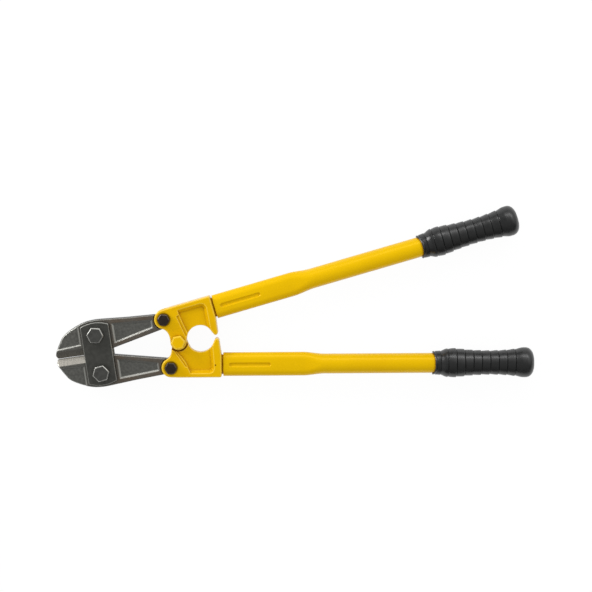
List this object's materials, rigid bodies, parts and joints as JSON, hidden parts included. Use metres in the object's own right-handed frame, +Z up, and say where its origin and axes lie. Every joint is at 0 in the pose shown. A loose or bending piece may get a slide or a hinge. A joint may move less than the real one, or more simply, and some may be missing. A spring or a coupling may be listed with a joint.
{
  "type": "bolt cutters",
  "caption": "Centre-cut bolt cutters with forged jaws between link plates, cast handle heads, steel tube handles and ringed rubber grips.",
  "frame": {"origin": "on the ground under the middle of the tool's length, with the tool lying flat and its handles together", "axes": "+X along the tool from the jaws to the grips, +Y across the handles towards the upper handle, +Z up through the pivot bolts towards their heads"},
  "size_m": [0.5952, 0.2155, 0.0414],
  "materials": {
    "jaw_steel": "drop-forged tool steel with a dark quench scale, brownish on some rims, ground bright on the cutting bevels",
    "link_steel": "dark oxidised steel plate with edges worn to bare metal",
    "bolt_steel": "dark oxidised hexagon fasteners with lighter turned edges",
    "black_fasteners": "black-oxide hexagon fasteners, slightly glossy with oil",
    "head_enamel": "glossy golden-yellow enamel over a sand-cast surface",
    "tube_enamel": "smooth glossy yellow enamel on drawn tube",
    "grip_rubber": "satin black moulded rubber"
  },
  "bodies": {
    "link_plates": {"front_link_plate": "link_steel", "back_link_plate": "link_steel", "upper_jaw_bolt": "bolt_steel", "upper_jaw_spring_washer": "bolt_steel", "upper_jaw_nut": "bolt_steel", "lower_jaw_bolt": "bolt_steel", "lower_jaw_spring_washer": "bolt_steel", "lower_jaw_nut": "bolt_steel"},
    "upper_jaw": {"upper_jaw": "jaw_steel"},
    "lower_jaw": {"lower_jaw": "jaw_steel"},
    "upper_handle": {"upper_handle_head": "head_enamel", "upper_tube": "tube_enamel", "upper_grip": "grip_rubber", "upper_tail_bolt": "black_fasteners", "upper_tail_spring_washer": "black_fasteners", "upper_tail_nut": "black_fasteners", "centre_bolt": "head_enamel", "centre_washer": "head_enamel", "centre_nut": "head_enamel"},
    "lower_handle": {"lower_handle_head": "head_enamel", "lower_tube": "tube_enamel", "lower_grip": "grip_rubber", "lower_tail_bolt": "black_fasteners", "lower_tail_spring_washer": "black_fasteners", "lower_tail_nut": "black_fasteners"}
  },
  "joints": [
    {"name": "upper_jaw_pivot", "type": "hinge", "parent": "link_plates", "child": "upper_jaw", "pos_m": [-0.2448, 0.024, 0.022], "axis": [0, 0, -1], "range_deg": [-0.2, 8.8]},
    {"name": "lower_jaw_pivot", "type": "hinge", "parent": "link_plates", "child": "lower_jaw", "pos_m": [-0.2448, -0.024, 0.022], "axis": [0, 0, 1], "range_deg": [-0.2, 8.8]},
    {"name": "upper_handle_pivot", "type": "hinge", "parent": "upper_jaw", "child": "upper_handle", "pos_m": [-0.1581, 0.0306, 0.022], "axis": [0, 0, 1], "range_deg": [-1, 45]},
    {"name": "lower_handle_pivot", "type": "hinge", "parent": "lower_jaw", "child": "lower_handle", "pos_m": [-0.1581, -0.0306, 0.022], "axis": [0, 0, -1], "range_deg": [-1, 45]}
  ],
  "couplings": [
    {"joint": "upper_jaw_pivot", "follows": "upper_handle_pivot", "ratio": 0.194},
    {"joint": "lower_jaw_pivot", "follows": "upper_handle_pivot", "ratio": 0.194},
    {"joint": "lower_handle_pivot", "follows": "upper_handle_pivot", "ratio": 1}
  ]
}
